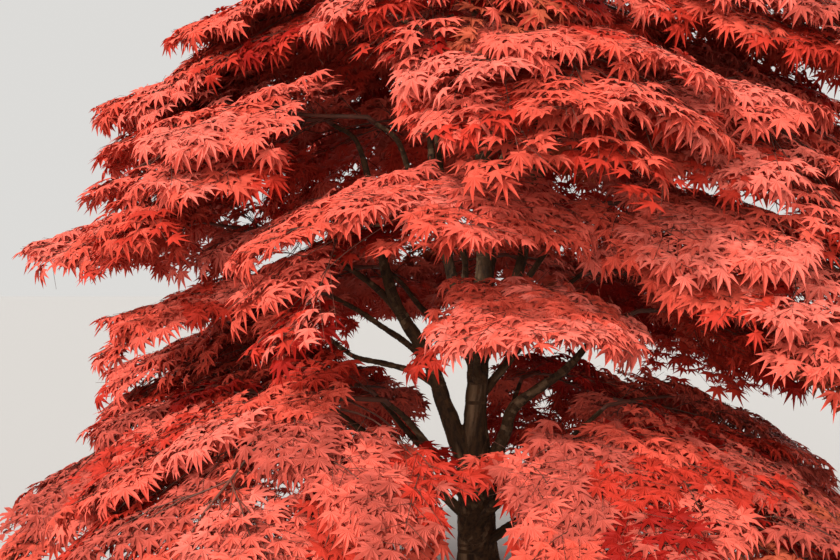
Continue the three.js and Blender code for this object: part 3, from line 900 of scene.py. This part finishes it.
groups = 6  # pieces that the leaves are joined into, by the place of their pad
twigPieces = 2
order = sorted(range(len(pads)), key=lambda i: (pads[i]["tier"], pads[i]["azimuth"]))
groupOf = {pads[i]["name"]: place * groups // len(pads) for place, i in enumerate(order)}
for index, entry in enumerate(pads):
    draws = seeded(stems["seedFirst"] + index * stems["seedStep"])
    rng = np.random.default_rng(stems["seedFirst"] + index)
    for padFrame in padFrames[entry["name"]]:
        growArm(Mass(entry["name"], groupOf[entry["name"]], padFrame, rng), entry, draws)
print("grown:", len(twigRows), "twigs,", len(leafRows), "leaves")


# A leaf's own outline, flat at first, with its stalk. Each kind droops and spreads differently.
def leafKind(rng, plain, droop):
    points = [(0, -leafShape["stalkWidth"], 0), (0, leafShape["stalkWidth"], 0)]
    middle = leafShape["stalk"]
    points.append((middle, 0, leafShape["stalkHeight"]))
    faces = [(0, 2, 1)]
    droop *= rng.uniform(*leafShape["droopStray"])
    turn, lengths = leafShape["lobeTurn"], leafShape["lobeStray"]
    lobes = [(-angle, length) for angle, length in reversed(leafShape["lobes"][1:])]
    lobes += leafShape["lobes"]
    lobes = [(angle + rng.uniform(-turn, turn), length * rng.uniform(*lengths)) for angle, length in lobes]

    def add(angle, radius, height, aside=0):
        turn = math.radians(angle)
        x = middle + radius * math.cos(turn) - aside * math.sin(turn)
        y = radius * math.sin(turn) + aside * math.cos(turn)
        points.append((x, y, height))
        return len(points) - 1

    def bothHands(place):
        angle, radius, height = place
        return [add(hand * angle, radius, height) for hand in (-1, 1)]

    backTips = bothHands(leafShape["backLobe"])
    heels = bothHands(leafShape["heel"])
    outer = bothHands((abs(lobes[0][0]) + leafShape["outerSinus"], *leafShape["sinus"]))
    notches = [outer[0]]
    for (before, _), (after, _) in zip(lobes, lobes[1:]):
        notches.append(add((before + after) / 2, *leafShape["sinus"]))
    notches.append(outer[1])
    faces += [(2, heels[0], backTips[0]), (2, backTips[0], outer[0])]
    faces += [(2, backTips[1], heels[1]), (2, outer[1], backTips[1])]
    widest, byLength = leafShape["shoulderShares"]
    for i, (angle, length) in enumerate(lobes):
        if plain:
            tip = add(angle, length, -droop * length * length)
            faces += [(2, notches[i], tip), (2, tip, notches[i + 1])]
            continue
        along = leafShape["shoulder"] * length
        width = leafShape["shoulderWidth"] * (widest + byLength * length)
        low = -droop * along * along + leafShape["fold"]
        right = add(angle, along, low, -width)
        left = add(angle, along, low, width)
        tip = add(angle, length, -droop * length * length)
        faces += [(2, notches[i], right), (2, right, tip), (2, tip, left), (2, left, notches[i + 1])]
    return np.array(points, np.float32), np.array(faces, np.int32)


kindRng = np.random.default_rng(leafShape["seed"])
leafKinds = []  # full ones first and then plain ones, each flat and then drooping
for plain in (False, True):
    for droop in leafShape["droops"]:
        leafKinds += [leafKind(kindRng, plain, droop) for _ in range(leafShape["kinds"])]
print("a leaf has", len(leafKinds[0][1]), "faces")

leafTable = np.array(leafRows)


def meshOf(name, vertices, faces, tints):
    mesh = bpy.data.meshes.new(name)
    mesh.vertices.add(len(vertices))
    mesh.vertices.foreach_set("co", vertices.astype(np.float32).ravel())
    mesh.loops.add(faces.size)
    mesh.loops.foreach_set("vertex_index", faces.astype(np.int32).ravel())
    mesh.polygons.add(len(faces))
    mesh.polygons.foreach_set("loop_start", np.arange(0, faces.size, 3, dtype=np.int32))
    mesh.polygons.foreach_set("material_index", tints.astype(np.int32))
    mesh.update(calc_edges=True)
    mesh.validate()
    return mesh


def joinLeaves(name, rows):
    vertices, faces, tints = [], [], []
    count = 0
    for kind, (points, shape) in enumerate(leafKinds):
        own = rows[rows[:, 1] == kind]  # a row holds group, kind, tint, place, two axes and size
        ahead, left = own[:, 6:9], own[:, 9:12]
        face = np.cross(ahead, left)
        axes = np.stack((ahead, left, face), axis=1)
        placed = own[:, None, 3:6] + own[:, 12, None, None] * np.einsum("pk,nkj->npj", points, axes)
        vertices.append(placed.reshape(-1, 3))
        firsts = count + np.arange(len(own)) * len(points)
        faces.append((firsts[:, None, None] + shape[None]).reshape(-1, 3))
        tints.append(np.repeat(own[:, 2], len(shape)))
        count += len(own) * len(points)
    mesh = meshOf(name, np.vstack(vertices), np.vstack(faces), np.concatenate(tints))
    mesh.shade_flat()
    return newObject(name, mesh)


def twigTube(points, base, tip, sides):
    # rings of a thin tube along a row of points, closed to a point at its end
    line = np.array(points)
    ahead = np.gradient(line, axis=0)
    ahead /= np.linalg.norm(ahead, axis=1)[:, None]
    level = np.cross(ahead, (0, 0, 1))
    level[np.linalg.norm(level, axis=1) < twigs["upright"]] = (1, 0, 0)
    level /= np.linalg.norm(level, axis=1)[:, None]
    above = np.cross(level, ahead)
    radii = np.linspace(base, tip, len(line))
    turns = np.arange(sides) / sides * math.tau
    circle = np.cos(turns)[None, :, None] * level[:, None] + np.sin(turns)[None, :, None] * above[:, None]
    rings = line[:, None] + radii[:, None, None] * circle
    vertices = np.vstack((rings.reshape(-1, 3), line[-1:] + ahead[-1:] * tip))
    faces = []
    for i in range(len(line) - 1):
        for k in range(sides):
            a = i * sides + k
            b = i * sides + (k + 1) % sides
            faces += [(a, b, b + sides), (a, b + sides, a + sides)]
    last = (len(line) - 1) * sides
    end = len(vertices) - 1
    faces += [(last + k, last + (k + 1) % sides, end) for k in range(sides)]
    faces += [(0, k + 1, k) for k in range(1, sides - 1)]
    return vertices, np.array(faces)


def joinTwigs(name, rows):
    vertices, faces = [], []
    count = 0
    for _, points, base, tip, sides in rows:
        own, shape = twigTube(points, base, tip, sides)
        vertices.append(own)
        faces.append(shape + count)
        count += len(own)
    faces = np.vstack(faces)
    mesh = meshOf(name, np.vstack(vertices), faces, np.zeros(len(faces)))
    mesh.shade_smooth()
    return newObject(name, mesh)


# Materials.
def newMaterial(name):
    material = bpy.data.materials.new(name)
    material.use_nodes = True
    return material, material.node_tree, material.node_tree.nodes["Principled BSDF"]


def newGroup(name, inputs, outputs):
    group = bpy.data.node_groups.new(name, "ShaderNodeTree")
    for label, kind, value in inputs:
        socket = group.interface.new_socket(label, in_out="INPUT", socket_type=kind)
        socket.default_value = value
    for label, kind in outputs:
        group.interface.new_socket(label, in_out="OUTPUT", socket_type=kind)
    return group, group.nodes.new("NodeGroupInput"), group.nodes.new("NodeGroupOutput")


def setInputs(node, values):
    for label, value in values.items():
        node.inputs[label].default_value = value
    return node


def addNode(tree, kind, values):
    return setInputs(tree.nodes.new(kind), values)


def addMix(tree):
    mix = tree.nodes.new("ShaderNodeMix")
    mix.data_type = "RGBA"
    return mix


mottleLook = {"detail": 4, "roughness": 0.6, "from": 0.36, "to": 0.66}


def mottleGroup():
    # a colour that strays to a second one by soft and by fine noise
    group, given, result = newGroup(
        "mottle",
        [("Vector", "NodeSocketVector", (0, 0, 0)), ("Colour", "NodeSocketColor", (1, 1, 1, 1)),
         ("Second", "NodeSocketColor", (0, 0, 0, 1)), ("Scale", "NodeSocketFloat", 10)],
        [("Colour", "NodeSocketColor")],
    )
    links = group.links
    texture = addNode(group, "ShaderNodeTexNoise",
                      {"Detail": mottleLook["detail"], "Roughness": mottleLook["roughness"]})
    contrast = addNode(group, "ShaderNodeMapRange",
                       {"From Min": mottleLook["from"], "From Max": mottleLook["to"]})
    mix = addMix(group)
    links.new(given.outputs["Vector"], texture.inputs["Vector"])
    links.new(given.outputs["Scale"], texture.inputs["Scale"])
    links.new(texture.outputs["Fac"], contrast.inputs["Value"])
    links.new(contrast.outputs["Result"], mix.inputs["Factor"])
    links.new(given.outputs["Colour"], mix.inputs["A"])
    links.new(given.outputs["Second"], mix.inputs["B"])
    links.new(mix.outputs["Result"], result.inputs["Colour"])
    return group


mottle = mottleGroup()


def placeMottle(tree, vector, colour, second, scale):
    node = tree.nodes.new("ShaderNodeGroup")
    node.node_tree = mottle
    tree.links.new(vector, node.inputs["Vector"])
    return setInputs(node, {"Colour": (*colour, 1), "Second": (*second, 1), "Scale": scale})


barkLook = {
    "deep": (0.02, 0.009, 0.004),
    "plain": (0.08, 0.036, 0.013),
    "light": (0.21, 0.12, 0.062),
    "scale": 60,
    "streakScale": 24,
    "streakDetail": 5,
    "streakFrom": 0.53,
    "streakTo": 0.72,
    "roughness": 0.85,
    "specular": 0.25,
    "fineScale": 210,
    "fineDetail": 3,
    "fineStrength": 0.5,
    "fineDepth": 0.0015,
}


def barkMaterial():
    material, tree, shader = newMaterial("bark")
    links = tree.links
    look = barkLook
    place = tree.nodes.new("ShaderNodeAttribute")
    place.attribute_name = "grain"
    base = placeMottle(tree, place.outputs["Vector"], look["plain"], look["deep"], look["scale"])
    streak = addNode(tree, "ShaderNodeTexNoise",
                     {"Scale": look["streakScale"], "Detail": look["streakDetail"]})
    streakMask = addNode(tree, "ShaderNodeMapRange",
                         {"From Min": look["streakFrom"], "From Max": look["streakTo"]})
    mix = addMix(tree)
    mix.inputs["B"].default_value = (*look["light"], 1)
    links.new(place.outputs["Vector"], streak.inputs["Vector"])
    links.new(streak.outputs["Fac"], streakMask.inputs["Value"])
    links.new(streakMask.outputs["Result"], mix.inputs["Factor"])
    links.new(base.outputs["Colour"], mix.inputs["A"])
    links.new(mix.outputs["Result"], shader.inputs["Base Color"])
    setInputs(shader, {"Roughness": look["roughness"], "Specular IOR Level": look["specular"]})

    fine = addNode(tree, "ShaderNodeTexNoise",
                   {"Scale": look["fineScale"], "Detail": look["fineDetail"]})
    bump = addNode(tree, "ShaderNodeBump",
                   {"Strength": look["fineStrength"], "Distance": look["fineDepth"]})
    links.new(place.outputs["Vector"], fine.inputs["Vector"])
    links.new(fine.outputs["Fac"], bump.inputs["Height"])
    links.new(bump.outputs["Normal"], shader.inputs["Normal"])
    return material


twigLook = {"young": (0.16, 0.04, 0.02), "old": (0.07, 0.028, 0.014), "scale": 9, "roughness": 0.7}


def twigMaterial():
    material, tree, shader = newMaterial("young_bark")
    place = tree.nodes.new("ShaderNodeTexCoord")
    look = twigLook
    base = placeMottle(tree, place.outputs["Object"], look["young"], look["old"], look["scale"])
    tree.links.new(base.outputs["Colour"], shader.inputs["Base Color"])
    setInputs(shader, {"Roughness": look["roughness"]})
    return material


leafTints = {
    "coral": (0.78, 0.125, 0.08),
    "salmon": (0.8, 0.16, 0.11),
    "scarlet": (0.7, 0.09, 0.052),
    "crimson": (0.54, 0.036, 0.018),
    "maroon": (0.34, 0.01, 0.005),
    "russet": (0.48, 0.085, 0.038),
    "rose": (0.52, 0.084, 0.055),
}
leafLook = {"roughness": 0.65, "specular": 0.12, "shadeShare": 0.72, "scale": 14}


def leafMaterial(name):
    material, tree, shader = newMaterial("leaf_" + name)
    look = leafLook
    place = tree.nodes.new("ShaderNodeTexCoord")
    second = [value * look["shadeShare"] for value in leafTints[name]]
    base = placeMottle(tree, place.outputs["Object"], leafTints[name], second, look["scale"])
    tree.links.new(base.outputs["Colour"], shader.inputs["Base Color"])
    setInputs(shader, {"Roughness": look["roughness"], "Specular IOR Level": look["specular"]})
    return material


barkFinish = barkMaterial()
twigFinish = twigMaterial()
leafFinishes = [leafMaterial(name) for name in tintNames]

# The pieces: bark, twigs and leaves, each in place of its solids.
mainLimbs = fuseLimbs("bark_main_limbs", bark["fused"])
otherNames = [name for name in limbs if name not in bark["fused"]]
otherLimbs = fuseLimbs("bark_boughs", otherNames)
for piece, names in ((mainLimbs, bark["fused"]), (otherLimbs, otherNames)):
    carveBark(piece)
    piece.data.materials.clear()
    piece.data.materials.append(barkFinish)
    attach(piece, "root")
    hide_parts(*names)
    print(piece.name, "has", sum(len(face.vertices) - 2 for face in piece.data.polygons), "triangles")

for group in range(groups):
    leaves = joinLeaves(f"leaves_{group + 1}", leafTable[leafTable[:, 0] == group])
    for finish in leafFinishes:
        leaves.data.materials.append(finish)
    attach(leaves, "root")
    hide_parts(*["foliage_" + name for name in groupOf if groupOf[name] == group])
    print(leaves.name, "has", len(leaves.data.polygons), "triangles")

for half in range(twigPieces):
    rows = [row for row in twigRows if row[0] % twigPieces == half]
    wood = joinTwigs(f"twigs_{half + 1}", rows)
    wood.data.materials.append(twigFinish)
    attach(wood, "root")
    print(wood.name, "has", len(wood.data.polygons), "triangles")

bpy.context.scene.view_settings.view_transform = "Standard"

# The studio: a pale floor, a soft key from the upper front left, a low fill and a weak back light.
studio = {
    "floorSize": 200,
    "floorColour": (0.47, 0.46, 0.44, 1),
    "floorRoughness": 0.9,
    "skyColour": (0.88, 0.83, 0.8, 1),
    "skyStrength": 0.8,
    "backdropColour": (0.72, 0.71, 0.69, 1),
    "keyFrom": (-5.6, -6, 6.4),
    "keyStrength": 3,
    "keySoftness": 7,  # degrees that the light spans
    "fillFrom": (-2, -8, 0.9),
    "fillStrength": 2,
    "fillSoftness": 40,
    "backFrom": (4, 7, 5),
    "backStrength": 0.7,
    "backSoftness": 20,
}


def addLight(name):
    place = studio[name + "From"]
    light = bpy.data.lights.new(name, "SUN")
    light.angle = math.radians(studio[name + "Softness"])
    light.energy = studio[name + "Strength"]
    lamp = bpy.data.objects.new(name, light)
    lamp.location = place
    lamp.rotation_euler = (-Vector(place)).to_track_quat("-Z", "Y").to_euler()
    bpy.context.scene.collection.objects.link(lamp)


def addFloor():
    bm = bmesh.new()
    bmesh.ops.create_grid(bm, x_segments=1, y_segments=1, size=studio["floorSize"] / 2)
    mesh = bpy.data.meshes.new("floor")
    bm.to_mesh(mesh)
    bm.free()
    material, _, shader = newMaterial("pale_floor")
    setInputs(shader, {"Base Color": studio["floorColour"], "Roughness": studio["floorRoughness"]})
    mesh.materials.append(material)
    newObject("floor", mesh)


def addSky():
    # the sky gives a soft warm light, and a pale backdrop shows in its place
    world = bpy.data.worlds.new("studio")
    world.use_nodes = True
    nodes, links = world.node_tree.nodes, world.node_tree.links
    sky = setInputs(nodes["Background"], {"Color": studio["skyColour"], "Strength": studio["skyStrength"]})
    backdrop = addNode(world.node_tree, "ShaderNodeBackground", {"Color": studio["backdropColour"]})
    seen = nodes.new("ShaderNodeLightPath")
    mix = nodes.new("ShaderNodeMixShader")
    links.new(seen.outputs["Is Camera Ray"], mix.inputs["Fac"])
    links.new(sky.outputs["Background"], mix.inputs[1])
    links.new(backdrop.outputs["Background"], mix.inputs[2])
    links.new(mix.outputs["Shader"], nodes["World Output"].inputs["Surface"])
    bpy.context.scene.world = world


addFloor()
addSky()
for name in ("key", "fill", "back"):
    addLight(name)

view = {"place": (-0.249, -5, 1.48), "lens": 50, "sensor": 36}
lens = bpy.data.cameras.new("camera")
lens.lens = view["lens"]
lens.sensor_width = view["sensor"]
camera = bpy.data.objects.new("camera", lens)
camera.location = view["place"]
camera.rotation_euler = (math.pi / 2, 0, 0)
bpy.context.scene.collection.objects.link(camera)
bpy.context.scene.camera = camera
print("studio set")
